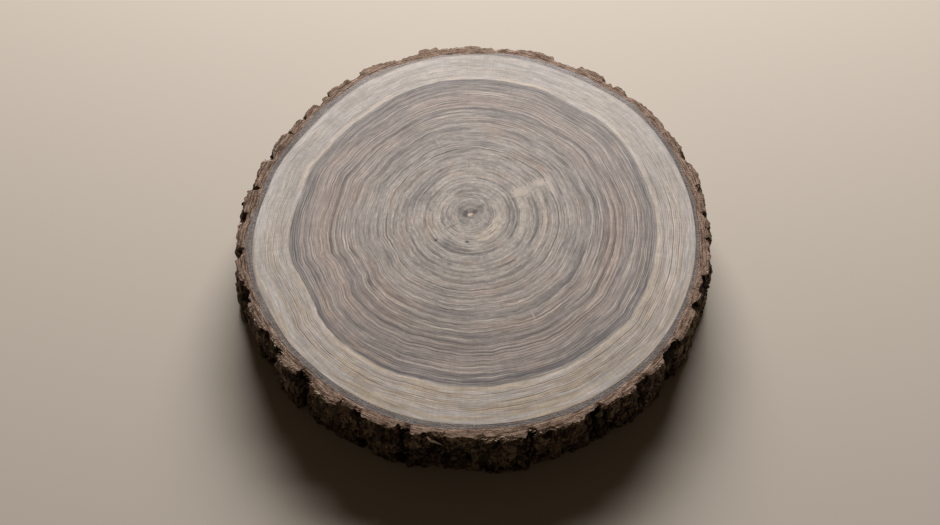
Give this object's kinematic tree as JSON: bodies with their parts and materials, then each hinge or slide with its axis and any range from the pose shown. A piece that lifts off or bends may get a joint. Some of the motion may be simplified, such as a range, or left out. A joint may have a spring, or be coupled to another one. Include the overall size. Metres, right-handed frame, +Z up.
{
  "type": "wood slice",
  "caption": "Round cross-cut slice of a hardwood trunk with flat sawn faces and a ring of furrowed bark, used as a board, stand or base.",
  "frame": {"origin": "centre of the outline on the lower sawn face, where the slice rests", "axes": "+Z up along the trunk's axis; -Y is the side towards the viewer in the picture, +X is to the viewer's right"},
  "size_m": [0.3084, 0.3056, 0.045],
  "materials": {
    "sawn_wood": "dry sanded end grain, taupe heartwood with pale sapwood, no gloss",
    "bark": "rough dry furrowed bark, dark brown, matt"
  },
  "bodies": {
    "root": {"wood": "sawn_wood", "bark": "bark"}
  },
  "joints": []
}
